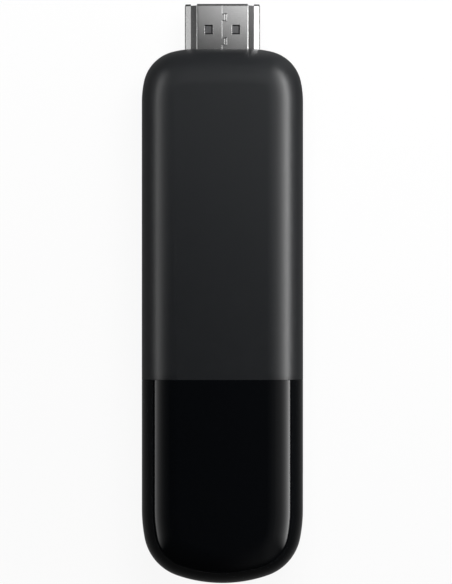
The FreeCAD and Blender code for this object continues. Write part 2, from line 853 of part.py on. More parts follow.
def make_covers():
    opening_outline = offset("plug_opening_outline", plug_outline("plug_opening_rim", head + overshoot), at.plug_gap)
    plug_opening = drawn_out("plug_opening", opening_outline, at.wall * 2 + overshoot)
    inlet_opening = inlet_solid("inlet_opening", at.inlet_flare + at.inlet_gap, at.inlet_recess + at.wall * 2,
                                half_width + at.inlet_recess)

    # Rear tray. The core is the space inside it, so what is taken from the core stays as ribs and bosses.
    # The bevel of the core's rim follows the outer round, so the wall stays near its thickness there.
    rear_block = block("rear_block", zero, zero, middle, rounded=(zero, at.back_round))
    rear_core = block("rear_core", at.wall, at.wall, middle + overshoot, bevelled=(at.wall, at.back_round))
    rebate = block("rear_rebate", at.joint_inset, middle - at.rebate_depth, middle + overshoot)
    rear_ribs = cover_ribs("rear_ribs", (zero, board_low), (zero, rear_spreader_low))
    bosses = rods("screw_bosses", at.screw_shank / 2 + at.boss_wall, zero, board_low)
    rear_post = rod("rear_post", (zero, post_y), at.post_radius, zero, board_low)
    pilots = rods("screw_pilots", at.screw_shank / 2 + at.screw_gap / 2, at.wall, middle)
    rear_space = cut("rear_space", rear_core, fuse("rear_stiffeners", rear_ribs, bosses, rear_post))
    notches = snap_hooks("hook_notches", at.joint_gap)
    hollow = fuse("rear_hollow", rebate, rear_space)
    node("rear_cover", cut("rear_tray", cut("rear_shell", rear_block, hollow),
                           pilots, notches, plug_opening, inlet_opening))

    # Front covers. The skin inset is the tongue below the parting line and the lap under the gloss cover.
    skin = at.joint_inset + at.joint_gap
    top = at.body_height
    front_block = block("front_block", zero, middle, top, rounded=(top, at.front_round))
    front_skin = block("front_skin", skin, middle - at.tongue_depth, top - skin,
                       rounded=(top - skin, at.front_round))
    lap_space = block("lap_space", at.joint_inset, middle - at.tongue_depth - overshoot, top - at.joint_inset,
                      rounded=(top - at.joint_inset, at.front_round))
    front_core = block("front_core", at.wall, middle - at.tongue_depth - overshoot, top - at.wall,
                       bevelled=(top - at.wall, at.front_round))
    front_ribs = cover_ribs("front_ribs", (board_high, top), (front_spreader_high, top))
    front_post = rod("front_post", (zero, post_y), at.post_radius, board_high, top)
    front_space = cut("front_space", front_core, fuse("front_stiffeners", front_ribs, front_post))
    inner = fuse("skin_with_hooks", front_skin, snap_hooks("snap_hooks", zero))

    def zone(name, low, high):
        return box(name, (centred(zero, beyond), (low, high), (-beyond, beyond)))

    lap_end = split - at.lap_length
    matte_outer = boolean("Common", "matte_outer", front_block, zone("matte_zone", split, beyond))
    matte_inner = boolean("Common", "matte_inner", inner, zone("matte_skin_zone", lap_end, beyond))
    matte = fuse("matte_shell", matte_outer, matte_inner)
    node("front_cover", cut("matte_cover", cut("matte_hollow", matte, front_space), plug_opening))

    gloss_outer = boolean("Common", "gloss_outer", front_block, zone("gloss_zone", -beyond, split))
    gloss_inner = boolean("Common", "gloss_inner", inner, zone("gloss_skin_zone", -beyond, split))
    lap_zone = zone("lap_zone", lap_end - at.joint_gap, split + overshoot)
    lap_recess = boolean("Common", "lap_recess", lap_space, lap_zone)
    gloss = fuse("gloss_shell", gloss_outer, gloss_inner)
    gloss_space = fuse("gloss_space", front_space, lap_recess)
    node("gloss_cover", cut("gloss_cover_piece", cut("gloss_hollow", gloss, gloss_space), inlet_opening))


make_covers()


# Main board, with its screws

def make_board():
    body = new_body("board")
    sketch = body_sketch(body, "XY", board_low, "board_outline")
    loop(sketch, *stick_outline(at.board_inset))
    pad(body, sketch, at.board_thickness, "board_pad")

    openings = body_sketch(body, "XY", board_high, "board_cuts")
    loop(openings, rectangle(-half_width, half_width, board_head, plug_tip))
    notch = inlet_back - at.inlet_gap - at.inlet_contact_sheet
    reach = at.inlet_width / 2 + at.inlet_gap
    loop(openings, rectangle(notch, half_width, inlet_middle - reach, inlet_middle + reach))
    gap = at.plug_gap
    pin_x = (at.plug_width / 2 - at.plug_sheet - gap, at.plug_width / 2 + gap)
    pin_back = plug_back - at.strap_length
    for low, high in (pin_x, (-pin_x[1], -pin_x[0])):
        loop(openings, rectangle(low, high, pin_back - gap, pin_back + at.strap_pin_length + gap))
    pocket(body, openings, at.board_thickness, "board_openings")

    holes = body_sketch(body, "XY", board_high, "board_holes")
    for index, (across, along) in enumerate(screw_places()):
        radius = at.screw_shank / 2 + at.screw_gap
        holes.addGeometry(Part.Circle(Vector(across.value, along.value, 0), Vector(0, 0, 1), radius.value))
        hold(holes, Sketcher.Constraint("DistanceX", -1, 1, index, 3, across.value), "across%d" % index, across)
        hold(holes, Sketcher.Constraint("DistanceY", -1, 1, index, 3, along.value), "up%d" % index, along)
        hold(holes, Sketcher.Constraint("Radius", index, radius.value), "radius%d" % index, radius)
    pocket(body, holes, at.board_thickness, "board_screw_holes")
    node("main_board", body)


def make_screws():
    low = board_high + at.screw_head_height - at.screw_length
    shanks = rods("screw_shanks", at.screw_shank / 2, low, board_high)
    heads = rods("screw_heads", at.screw_head / 2, board_high, board_high + at.screw_head_height)
    node("board_screws", fuse("screws", shanks, heads))


make_board()
make_screws()


# Shield cans, pads and heat spreaders

can_x = centred(zero, can_width)
can_y = (can_rear, can_front)


def grown(span, amount):
    return (span[0] - amount, span[1] + amount)


def make_front_can():
    # A fence soldered to the board, and a lid whose skirt slips over it.
    lid_under = front_can_top - at.can_sheet
    frame = new_body("can_frame")
    bar(frame, (can_x, can_y, (board_high, lid_under)), "can_fence")
    inside = body_sketch(frame, "XY", lid_under - at.can_sheet, "can_inside")
    loop(inside, rectangle(*grown(can_x, -at.can_sheet), *grown(can_y, -at.can_sheet)))
    pocket(frame, inside, lid_under - board_high, "can_hollow")
    window = body_sketch(frame, "XY", lid_under, "can_window")
    loop(window, rectangle(*grown(can_x, -at.can_flange), *grown(can_y, -at.can_flange)))
    pocket(frame, window, at.can_sheet * 2, "can_flange_cut")
    node("front_shield_frame", frame)

    lid = new_body("can_lid")
    plate = bar(lid, (grown(can_x, at.can_sheet), grown(can_y, at.can_sheet),
                      (front_can_top - at.can_skirt, front_can_top)), "can_plate")
    dress(lid, "Fillet", plate, "Radius", at.can_sheet, at_level(front_can_top), "can_plate_round")
    under = body_sketch(lid, "XY", lid_under, "can_lid_inside")
    loop(under, rectangle(*can_x, *can_y))
    pocket(lid, under, at.can_skirt, "can_lid_hollow")
    node("front_shield_lid", lid)


def make_rear_can():
    can = new_body("rear_can")
    outer = bar(can, (can_x, can_y, (rear_can_top, board_low)), "rear_can_block")
    dress(can, "Fillet", outer, "Radius", at.can_sheet, at_level(rear_can_top), "rear_can_round")
    inside = body_sketch(can, "XY", board_low, "rear_can_inside")
    loop(inside, rectangle(*grown(can_x, -at.can_sheet), *grown(can_y, -at.can_sheet)))
    pocket(can, inside, board_low - rear_can_top - at.can_sheet, "rear_can_hollow")
    node("rear_shield", can)


def slab(label, spans, corner=None, chamfer_level=None):
    body = new_body(label + "_body")
    (low_x, high_x), (low_y, high_y), (low_z, high_z) = spans
    sketch = body_sketch(body, "XY", low_z, label + "_sketch")
    bends = {number: corner for number in range(4)} if corner is not None else None
    loop(sketch, rectangle(low_x, high_x, low_y, high_y), bends=bends)
    solid = pad(body, sketch, high_z - low_z, label + "_pad")
    if chamfer_level is not None:
        dress(body, "Chamfer", solid, "Size", at.chip_chamfer, at_level(chamfer_level), label + "_chamfer")
    return node(label, body)


def make_thermal_stack():
    processor_top = board_high + at.processor_height
    storage_low = board_low - at.storage_height
    processor_x = centred(zero, at.processor_width)
    processor_y = centred(processor_middle, at.processor_width)
    storage_x = centred(zero, at.storage_width)
    storage_y = centred(processor_middle - at.storage_shift, at.storage_length)
    slab("main_processor", (processor_x, processor_y, (board_high, processor_top)), chamfer_level=processor_top)
    slab("storage_chip", (storage_x, storage_y, (storage_low, board_low)), chamfer_level=storage_low)
    slab("processor_thermal_pad", (processor_x, processor_y, (processor_top, processor_top + at.pad_on_chip)))
    slab("storage_thermal_pad", (storage_x, storage_y, (storage_low - at.pad_on_chip, storage_low)))
    pad_x = grown(can_x, -at.pad_margin)
    pad_y = grown(can_y, -at.pad_margin)
    slab("front_thermal_pad", (pad_x, pad_y, (front_can_top, front_spreader_low)))
    slab("rear_thermal_pad", (pad_x, pad_y, (rear_spreader_high, rear_can_top)))
    spreader_x = centred(zero, spreader_width)
    spreader_y = centred(can_middle, spreader_length)
    slab("front_heat_spreader", (spreader_x, spreader_y, (front_spreader_low, front_spreader_high)),
         corner=at.spreader_corner)
    slab("rear_heat_spreader", (spreader_x, spreader_y, (rear_spreader_low, rear_spreader_high)),
         corner=at.spreader_corner)


make_front_can()
make_rear_can()
make_thermal_stack()


# Other parts on the board

def make_small_parts():
    def on_board(height):
        return (board_high, board_high + height)

    memory = new_body("memory")
    chip = bar(memory, ((at.memory_split, can_width / 2 - at.memory_from_can),
                        centred(memory_middle, at.memory_length), on_board(at.memory_height)), "memory_chip")
    mirror(memory, [chip], "YZ", "memory_pair")
    node("memory_chips", memory)

    top = board_high + at.power_chip_height
    slab("power_chip", (centred(at.power_chip_offset, at.power_chip_width),
                        centred(tail + at.power_chip_from_tail, at.power_chip_width), (board_high, top)),
         chamfer_level=top)

    inductors = new_body("inductors")
    coil = bar(inductors, (centred(at.inductor_offset, at.inductor_width),
                           centred(tail + at.inductor_from_tail, at.inductor_length), on_board(at.inductor_height)),
               "inductor")
    repeat(inductors, [coil], "Y", at.inductor_pitch, at.inductor_count, "inductor_row")
    node("power_inductors", inductors)

    crystals = new_body("crystals")
    crystal = bar(crystals, (centred(at.crystal_offset, at.crystal_width),
                             centred(wireless_middle, at.crystal_length), on_board(at.crystal_height)),
                  "crystal")
    mirror(crystals, [crystal], "YZ", "crystal_pair")
    node("clock_crystals", crystals)

    filters = new_body("filters")
    row_half = at.filter_pitch * (at.filter_count - 1) / 2
    line_filter = bar(filters, (centred(row_half, at.filter_width),
                                centred(board_head - at.filter_from_head, at.filter_length),
                                on_board(at.filter_height)), "line_filter")
    repeat(filters, [line_filter], "X", at.filter_pitch, at.filter_count, "line_filter_row")
    node("esd_filters", filters)

    capacitors = new_body("capacitors")
    pair = bars_both_sides(capacitors, (centred(can_width / 2 - at.capacitor_from_can, at.capacitor_length),
                                        centred(can_front - at.capacitor_from_front, at.capacitor_width),
                                        on_board(at.capacitor_height)), "capacitor")
    repeat(capacitors, pair, "Y", at.capacitor_pitch, at.capacitor_count, "capacitor_rows")
    node("ceramic_capacitors", capacitors)

    top = board_high + at.wireless_height
    slab("wifi_module", (centred(zero, at.wireless_width), centred(wireless_middle, at.wireless_length),
                         (board_high, top)), chamfer_level=top)

    antennas = new_body("antennas")
    low = board_high + at.antenna_lift - at.antenna_sheet
    middle_y = tail + at.antenna_from_tail
    back = middle_y + at.antenna_width / 2
    plate = bar(antennas, ((at.antenna_split, board_side - at.antenna_from_side),
                           centred(middle_y, at.antenna_width), (low, low + at.antenna_sheet)), "antenna_plate")
    legs = []
    for name, start in (("feed_leg", at.antenna_split), ("ground_leg", at.antenna_split + at.antenna_leg * 2)):
        legs.append(bar(antennas, ((start, start + at.antenna_leg), (back - at.antenna_sheet, back),
                                   (board_high, low)), name))
    mirror(antennas, [plate] + legs, "YZ", "antenna_pair")
    node("wifi_antennas", antennas)


make_small_parts()


# Check everything, then write one file for each node

document.recompute()
for thing in document.Objects:
    if "Invalid" in thing.State or "Error" in thing.State:
        raise RuntimeError("%s did not compute" % thing.Label)
os.makedirs("parts", exist_ok=True)
for thing in nodes:
    if thing.Shape.isNull() or not thing.Shape.isValid():
        raise RuntimeError("%s has no valid shape" % thing.Label)
for thing in nodes:
    thing.Shape.exportStep(os.path.join("parts", thing.Label + ".step"))
    print("%-24s %2d solids %8.1f mm3" % (thing.Label, len(thing.Shape.Solids), thing.Shape.Volume))
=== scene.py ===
import json
import math

import bmesh
import bpy
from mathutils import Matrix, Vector


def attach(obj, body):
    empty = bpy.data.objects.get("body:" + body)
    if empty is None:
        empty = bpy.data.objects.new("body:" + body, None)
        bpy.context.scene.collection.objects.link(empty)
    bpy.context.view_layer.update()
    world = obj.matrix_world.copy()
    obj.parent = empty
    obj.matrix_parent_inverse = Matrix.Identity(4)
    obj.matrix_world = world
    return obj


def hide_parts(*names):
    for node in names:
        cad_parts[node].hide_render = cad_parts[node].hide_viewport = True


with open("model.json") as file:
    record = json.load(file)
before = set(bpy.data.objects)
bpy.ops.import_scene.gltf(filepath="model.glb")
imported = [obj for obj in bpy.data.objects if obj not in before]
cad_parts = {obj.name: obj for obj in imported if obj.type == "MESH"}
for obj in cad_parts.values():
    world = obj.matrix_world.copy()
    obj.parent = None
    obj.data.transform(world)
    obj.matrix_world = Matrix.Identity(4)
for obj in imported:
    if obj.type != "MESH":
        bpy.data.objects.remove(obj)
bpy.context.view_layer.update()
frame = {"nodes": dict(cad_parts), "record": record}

mm = 0.001
closeBy = 1e-3            # millimetres within which two places count as one
mergeDistance = 1e-7      # metres
normalWeights = {"weight": 90, "thresh": 2e-7}
scene = bpy.context.scene
scene.view_settings.view_transform = "Standard"


# small helpers for working in edit mode

def deselectAll():
    if bpy.context.mode != "OBJECT":
        bpy.ops.object.mode_set(mode="OBJECT")
    bpy.ops.object.select_all(action="DESELECT")


def pickUp(piece):
    deselectAll()
    piece.select_set(True)
    bpy.context.view_layer.objects.active = piece


def settle(piece):
    pickUp(piece)
    bpy.ops.object.transform_apply(location=True, rotation=True, scale=True)


def firstPoint(name, place):
    # a small plane, merged into the one vertex that an outline starts from
    deselectAll()
    bpy.ops.mesh.primitive_plane_add(size=mm, location=[c * mm for c in place])
    piece = bpy.context.object
    piece.name = name
    settle(piece)
    bpy.ops.object.mode_set(mode="EDIT")
    bpy.ops.mesh.select_mode(type="VERT")
    bpy.ops.mesh.select_all(action="SELECT")
    bpy.ops.mesh.merge(type="CENTER")
    return piece


def middleOf(part):
    corners = getattr(part, "verts", None)
    if corners is None:
        return part.co / mm
    return sum((corner.co for corner in corners), Vector()) / len(corners) / mm


def choose(kind, test):
    # test gets the part and its middle in millimetres
    bpy.ops.mesh.select_mode(type=kind)
    bpy.ops.mesh.select_all(action="DESELECT")
    editing = bmesh.from_edit_mesh(bpy.context.object.data)
    for part in {"VERT": editing.verts, "EDGE": editing.edges, "FACE": editing.faces}[kind]:
        if test(part, middleOf(part)):
            part.select_set(True)
    bmesh.update_edit_mesh(bpy.context.object.data)


def push(x=0.0, y=0.0, z=0.0):
    bpy.ops.mesh.extrude_region_move(TRANSFORM_OT_translate={"value": (x * mm, y * mm, z * mm)})


def outward():
    bpy.ops.mesh.select_all(action="SELECT")
    bpy.ops.mesh.remove_doubles(threshold=mergeDistance)
    bpy.ops.mesh.normals_make_consistent(inside=False)


def modify(piece, kind, **settings):
    pickUp(piece)
    modifier = piece.modifiers.new(kind.lower(), kind)
    for name, value in settings.items():
        setattr(modifier, name, value)
    bpy.ops.object.modifier_apply(modifier=modifier.name)


def carve(piece, *cutters):
    for cutter in cutters:
        modify(piece, "BOOLEAN", object=cutter, operation="DIFFERENCE", solver="EXACT")
        bpy.data.objects.remove(cutter)


def smooth(piece, degrees):
    # large faces keep their own normal, and small bevels bend towards them
    pickUp(piece)
    bpy.ops.object.shade_smooth_by_angle(angle=math.radians(degrees))
    modify(piece, "WEIGHTED_NORMAL", keep_sharp=True, **normalWeights)


def duplicate(piece, name):
    copy = piece.copy()
    copy.data = piece.data.copy()
    copy.name = name
    scene.collection.objects.link(copy)
    return copy


# camera straight above the front face, the video plug at the top of the picture

viewing = {
    "imageHeight": 108.04,   # millimetres that the picture's height covers
    "centre": (0.66, 0.28),
    "outlineLevel": 7.7,
    "distance": 1200.0,
    "sensor": 36.0,
    "clip": (0.01, 20.0),    # metres
}


def placeCamera(v):
    x, y = v["centre"]
    bpy.ops.object.camera_add(location=(x * mm, y * mm, v["distance"] * mm))
    camera = bpy.context.object
    camera.name = "camera"
    camera.data.sensor_fit = "VERTICAL"
    camera.data.sensor_width = v["sensor"]
    camera.data.sensor_height = v["sensor"]
    camera.data.lens = v["sensor"] * (v["distance"] - v["outlineLevel"]) / v["imageHeight"]
    camera.data.clip_start, camera.data.clip_end = v["clip"]
    scene.camera = camera


deselectAll()
placeCamera(viewing)
print("camera ready")


# body covers: one outline, spun from arcs, drives the rear tray and both front covers

body = {
    "width": 29.8,
    "tail": -53.5,
    "head": 45.2,
    "height": 15.4,
    "middle": 7.7,
    "split": -15.9,
    "frontRound": 6.5,
    "backRound": 3.6,
    "wall": 1.4,
    "tailCorner": 9.16,
    "tailFlank": 28.76,
    "tailTipAngle": 19.3,
    "tailFlankAngle": 79.2,
    "headShoulder": 17.22,
    "headCorner": 7.22,
    "headFlank": 17.85,
    "headShoulderAngle": 14.5,
    "headFlankAngle": 77.9,
    "tipSteps": 14,
    "cornerSteps": 30,
    "flankSteps": 8,
    "shoulderSteps": 8,
    "sideSteps": 12,
    "rings": 28,
    "endRing": 0.15,
    "endCorners": 40,        # only the body's end faces have more corners
    "partingBevel": 0.13,
    "splitBevel": 0.05,
    "bevelSteps": 3,
    "sharpAngle": 60,
    "smoothing": 35,
}


def turned(degrees):
    return math.sin(math.radians(degrees)), math.cos(math.radians(degrees))


def outlineArcs(b):
    # centre, angle and steps of each arc of the right half, from the tail's tip round to the head
    half = b["width"] / 2
    tipSine, tipCosine = turned(b["tailTipAngle"])
    flankSine, flankCosine = turned(b["tailFlankAngle"])
    tip = (half - b["tailCorner"] * (flankSine - tipSine) - b["tailFlank"] * (1 - flankSine)) / tipSine
    cornerX = (tip - b["tailCorner"]) * tipSine
    cornerY = b["tail"] + tip - (tip - b["tailCorner"]) * tipCosine
    flankY = cornerY - (b["tailCorner"] - b["tailFlank"]) * flankCosine
    shoulderSine, shoulderCosine = turned(b["headShoulderAngle"])
    sideSine, sideCosine = turned(b["headFlankAngle"])
    flat = (half - b["headShoulder"] * shoulderSine - b["headCorner"] * (sideSine - shoulderSine)
            - b["headFlank"] * (1 - sideSine))
    shoulderY = b["head"] - b["headShoulder"]
    bowX = flat + (b["headShoulder"] - b["headCorner"]) * shoulderSine
    bowY = shoulderY + (b["headShoulder"] - b["headCorner"]) * shoulderCosine
    sideY = bowY + (b["headCorner"] - b["headFlank"]) * sideCosine
    tailArcs = [
        ((0, b["tail"] + tip), b["tailTipAngle"], b["tipSteps"]),
        ((cornerX, cornerY), b["tailFlankAngle"] - b["tailTipAngle"], b["cornerSteps"]),
        ((half - b["tailFlank"], flankY), 90 - b["tailFlankAngle"], b["flankSteps"]),
    ]
    headArcs = [
        ((half - b["headFlank"], sideY), 90 - b["headFlankAngle"], b["flankSteps"]),
        ((bowX, bowY), b["headFlankAngle"] - b["headShoulderAngle"], b["cornerSteps"]),
        ((flat, shoulderY), b["headShoulderAngle"], b["shoulderSteps"]),
    ]
    return tailArcs, sideY - flankY, headArcs, flat


def drawOutline(name, b, level):
    tailArcs, side, headArcs, flat = outlineArcs(b)
    piece = firstPoint(name, (0, b["tail"], level))

    def sweep(arcs):
        for (x, y), degrees, steps in arcs:
            bpy.ops.mesh.spin(steps=steps, angle=math.radians(-degrees), axis=(0, 0, 1),
                              center=(x * mm, y * mm, level * mm))

    sweep(tailArcs)
    for step in range(b["sideSteps"]):
        push(y=side / b["sideSteps"])
    sweep(headArcs)
    push(x=-flat)
    bpy.ops.mesh.select_all(action="SELECT")
    bpy.ops.mesh.symmetrize(direction="POSITIVE_X")
    bpy.ops.mesh.select_all(action="SELECT")
    bpy.ops.mesh.remove_doubles(threshold=mergeDistance)
    bpy.ops.mesh.edge_face_add()
    return piece


def halfBody(name, b, end, radius):
    # the outline's face, drawn up or down from the parting plane, then stepped in along a quarter circle
    def isEnd(face):
        return len(face.verts) > b["endCorners"]

    piece = drawOutline(name, b, b["middle"])
    way = 1 if end > b["middle"] else -1
    push(z=end - way * radius - b["middle"])
    outward()
    choose("FACE", lambda face, at: isEnd(face) and (at.z - b["middle"]) * way > closeBy)
    for ring in range(b["rings"]):
        sine, cosine = turned(90 * ring / b["rings"])
        nextSine, nextCosine = turned(90 * (ring + 1) / b["rings"])
        bpy.ops.mesh.inset(thickness=(cosine - nextCosine) * radius * mm,
                           depth=(nextSine - sine) * radius * mm, use_even_offset=True)
    bpy.ops.mesh.inset(thickness=b["endRing"] * mm, depth=0, use_even_offset=True)
    choose("FACE", lambda face, at: isEnd(face) and abs(at.z - b["middle"]) < closeBy)
    bpy.ops.mesh.delete(type="ONLY_FACE")
    return piece


def keepSide(piece, y, above):
    # cuts the piece across at y, and keeps what lies above or below
    pickUp(piece)
    bpy.ops.object.mode_set(mode="EDIT")
    bpy.ops.mesh.select_all(action="SELECT")
    bpy.ops.mesh.bisect(plane_co=(0, y * mm, 0), plane_no=(0, 1, 0),
                        clear_inner=above, clear_outer=not above)


def softenRims(piece, b, cutAt):
    def sharp(edge):
        return len(edge.link_faces) == 2 and edge.calc_face_angle(0) > math.radians(b["sharpAngle"])

    def atCut(edge, at):
        return sharp(edge) and abs(at.y - cutAt) < closeBy and at.z > b["middle"] + closeBy

    def atParting(edge, at):
        return sharp(edge) and abs(at.z - b["middle"]) < closeBy

    pickUp(piece)
    bpy.ops.object.mode_set(mode="EDIT")
    if cutAt is not None:
        choose("EDGE", atCut)
        bpy.ops.mesh.bevel(offset=b["splitBevel"] * mm, segments=b["bevelSteps"], affect="EDGES")
    choose("EDGE", atParting)
    bpy.ops.mesh.bevel(offset=b["partingBevel"] * mm, segments=b["bevelSteps"], affect="EDGES")
    bpy.ops.object.mode_set(mode="OBJECT")


def makeCovers(b):
    rear = halfBody("rearTray", b, 0.0, b["backRound"])
    front = halfBody("matteCover", b, b["height"], b["frontRound"])
    deselectAll()
    gloss = duplicate(front, "glossCover")
    keepSide(front, b["split"], True)
    keepSide(gloss, b["split"], False)
    for piece, cutAt in ((rear, None), (front, b["split"]), (gloss, b["split"])):
        modify(piece, "SOLIDIFY", thickness=b["wall"] * mm, offset=-1, use_even_offset=True)
        softenRims(piece, b, cutAt)
    return rear, front, gloss


rearTray, matteCover, glossCover = makeCovers(body)
print("covers ready")


# video plug: a folded sheet with a dovetailed seam, two windows and reliefs at the mouth's corners

plug = {
    "width": 13.9,
    "height": 4.45,
    "narrowWidth": 9.40,
    "ledgeWidth": 11.68,
    "ledgeRise": 0.45,
    "shoulderDrop": 0.20,
    "bend": 0.45,
    "bendSteps": 6,
    "sheet": 0.3,
    "tip": 53.5,
    "back": 39.6,
    "lipLength": 0.37,
    "lipDepth": 0.43,
    "lipSide": 0.13,
    "relief": 0.28,
    "windowWidth": 1.46,
    "windowLength": 1.7,
    "windowOffset": 2.51,
    "windowFromTip": 4.75,
    "windowBevel": 0.045,
    "windowBevelSteps": 2,
    "windowProfile": 0.36,
    "seamOffset": -0.05,
    "grooveWidth": 0.08,
    "grooveSlope": 0.66,
    "tabGroove": 0.17,       # wider grooves above and below each tab
    "tabRoot": 0.42,
    "tabReach": 0.82,
    "tabNeck": 1.16,
    "tabHead": 1.34,
    "tabFirst": 2.50,
    "tabPitch": 4.46,
    "pastEnds": 0.1,         # how far the seam's grooves run past the sheet's ends
    "pastMouth": 1.0,        # how far the relief cutters stand out of the mouth
    "smoothing": 22,
    "openingGap": 0.1,       # around the plug, in the covers' opening
    "openingReach": (-4, 1),    # the opening's ends, from the covers' head
}


def plugCorners(p):
    low, high = body["middle"] - p["height"] / 2, body["middle"] + p["height"] / 2
    right = [
        (p["width"] / 2, low),
        (p["width"] / 2, body["middle"] - p["shoulderDrop"]),
        (p["ledgeWidth"] / 2, body["middle"] + p["ledgeRise"]),
        (p["narrowWidth"] / 2, high),
    ]
    return right + [(-x, z) for x, z in reversed(right)]


def bentProfile(name, corners, bends, radius, steps, toSpace):
    # closed loop of corners, those in bends rounded to a radius; toSpace turns a corner into a place
    piece = firstPoint(name, toSpace(*corners[0]))
    for before, after in zip(corners, corners[1:]):
        push(*(Vector(toSpace(*after)) - Vector(toSpace(*before))))
    bpy.ops.mesh.select_all(action="SELECT")
    bpy.ops.mesh.edge_face_add()
    for index in bends:
        spot = Vector(toSpace(*corners[index]))
        legs = [Vector(toSpace(*corners[(index + turn) % len(corners)])) - spot for turn in (-1, 1)]
        reach = radius / math.tan(legs[0].angle(legs[1]) / 2)
        choose("VERT", lambda vertex, at: (at - spot).length < closeBy)
        bpy.ops.mesh.bevel(offset=reach * mm, segments=steps, profile=0.5, affect="VERTICES")
    bpy.ops.mesh.select_mode(type="FACE")
    bpy.ops.mesh.select_all(action="SELECT")
    return piece


def plugSolid(name, p, front, back, growth=0.0):
    piece = bentProfile(name, plugCorners(p), (0, 1, 3, 4, 6, 7), p["bend"], p["bendSteps"],
                        lambda x, z: (x, back, z))
    push(y=front - back)
    outward()
    if growth:
        bpy.ops.transform.shrink_fatten(value=growth * mm, use_even_offset=True)
    return piece


def makeBox(name, spans):
    low, high = Vector([span[0] for span in spans]), Vector([span[1] for span in spans])
    deselectAll()
    bpy.ops.mesh.primitive_cube_add(size=1, location=(low + high) / 2 * mm)
    piece = bpy.context.object
    piece.name = name
    piece.scale = (high - low) * mm
    settle(piece)
    return piece


def jointLines(p):
    # the folded sheet's joint from the mouth to the body, as straight grooves, with its two dovetails
    left, right = p["seamOffset"], p["tabReach"]
    fine, wide = p["grooveWidth"], p["tabGroove"]
    neck, head = p["tabNeck"] / 2, p["tabHead"] / 2
    lines = []
    reached = p["tip"] + p["pastEnds"]
    for number in (0, 1):
        centre = p["tip"] - p["tabFirst"] - number * p["tabPitch"]
        lines += [
            ((left, reached), (left, centre + neck), fine),
            ((left, centre + neck), (right, centre + head), wide),
            ((right, centre + head), (right, centre - head), fine),
            ((right, centre - head), (left, centre - neck), wide),
            ((p["tabRoot"], centre + neck), (p["tabRoot"], centre - neck), fine),
        ]
        reached = centre - neck
    return lines + [((left, reached), (left, p["back"] - p["pastEnds"]), fine)]


def grooveCutter(p, start, end, width):
    # a three-sided bar whose lowest edge lies under the sheet's face
    level, depth = body["middle"] + p["height"] / 2, p["grooveSlope"] * width / 2
    run = Vector((end[0] - start[0], end[1] - start[1]))
    across = Vector((-run.y, run.x)).normalized()
    groove = bentProfile("grooveCutter", [(0, -depth), (width, depth), (-width, depth)], (), 0, 0,
                         lambda u, z: (start[0] + across.x * u, start[1] + across.y * u, level + z))
    push(x=run.x, y=run.y)
    outward()
    return groove


def windowSpans(p, side, growth=0.0):
    halfWidth, halfLength = p["windowWidth"] / 2 + growth, p["windowLength"] / 2 + growth
    centre = side * p["windowOffset"], p["tip"] - p["windowFromTip"]
    return (centre[0] - halfWidth, centre[0] + halfWidth), (centre[1] - halfLength, centre[1] + halfLength)


def rollWindowEdges(shell, p):
    top = body["middle"] + p["height"] / 2
    frames = [windowSpans(p, side, closeBy) for side in (-1, 1)]

    def onFrame(edge, at):
        # a right-angled edge of the top face that lies on a window's border
        if abs(at.z - top) > closeBy or edge.calc_face_angle(0) < 1:
            return False
        return any(across[0] < at.x < across[1] and along[0] < at.y < along[1] for across, along in frames)

    pickUp(shell)
    bpy.ops.object.mode_set(mode="EDIT")
    choose("EDGE", onFrame)
    bpy.ops.mesh.bevel(offset=p["windowBevel"] * mm, segments=p["windowBevelSteps"],
                       profile=p["windowProfile"], affect="EDGES")
    bpy.ops.object.mode_set(mode="OBJECT")


def makePlug(p):
    shell = plugSolid("plugShell", p, p["tip"] - p["lipLength"], p["back"])
    # the mouth's lip turns in more at the top and bottom than at the sides
    choose("FACE", lambda face, at: face.normal.y > 0.9)
    bpy.ops.mesh.inset(thickness=p["lipDepth"] * mm, depth=p["lipLength"] * mm, use_even_offset=True)
    widen = (p["width"] - 2 * p["lipSide"]) / (p["width"] - 2 * p["lipDepth"])
    bpy.ops.transform.resize(value=(widen, 1, 1), center_override=(0, p["tip"] * mm, body["middle"] * mm))
    choose("FACE", lambda face, at: abs(face.normal.y) > 0.9)
    bpy.ops.mesh.delete(type="ONLY_FACE")
    modify(shell, "SOLIDIFY", thickness=p["sheet"] * mm, offset=-1, use_even_offset=True)
    low, high = body["middle"] - p["height"], body["middle"] + p["height"]
    cutters = [grooveCutter(p, *line) for line in jointLines(p)]
    for side in (-1, 1):
        across, along = windowSpans(p, side)
        cutters.append(makeBox("windowCutter", (across, along, (body["middle"], high))))
        across = sorted((side * p["narrowWidth"] / 2, side * p["ledgeWidth"] / 2))
        along = (p["tip"] - p["relief"], p["tip"] + p["pastMouth"])
        cutters.append(makeBox("reliefCutter", (across, along, (low, high))))
    carve(shell, *cutters)
    rollWindowEdges(shell, p)
    smooth(shell, p["smoothing"])
    return shell


plugShell = makePlug(plug)
print("plug ready")


# openings of the covers, for the plug and for the power inlet

inlet = {
    "middle": -37.1,
    "width": 8.3,
    "height": 3.25,
    "narrowWidth": 6.5,
    "shoulderDrop": 0.35,
    "bend": 0.8,
    "bendSteps": 6,
    "outside": 1,            # the cutter starts this far outside the body's side
    "depth": 6,
}


def inletCutter(i):
    low, high = body["middle"] - i["height"] / 2, body["middle"] + i["height"] / 2
    half = i["width"] / 2
    corners = [(i["narrowWidth"] / 2, low), (half, body["middle"] - i["shoulderDrop"]), (half, high)]
    corners += [(-y, z) for y, z in reversed(corners)]
    start = body["width"] / 2 + i["outside"]
    cutter = bentProfile("inletCutter", corners, (0, 2, 3, 5), i["bend"], i["bendSteps"],
                         lambda y, z: (start, i["middle"] + y, z))
    push(x=-i["depth"])
    outward()
    return cutter


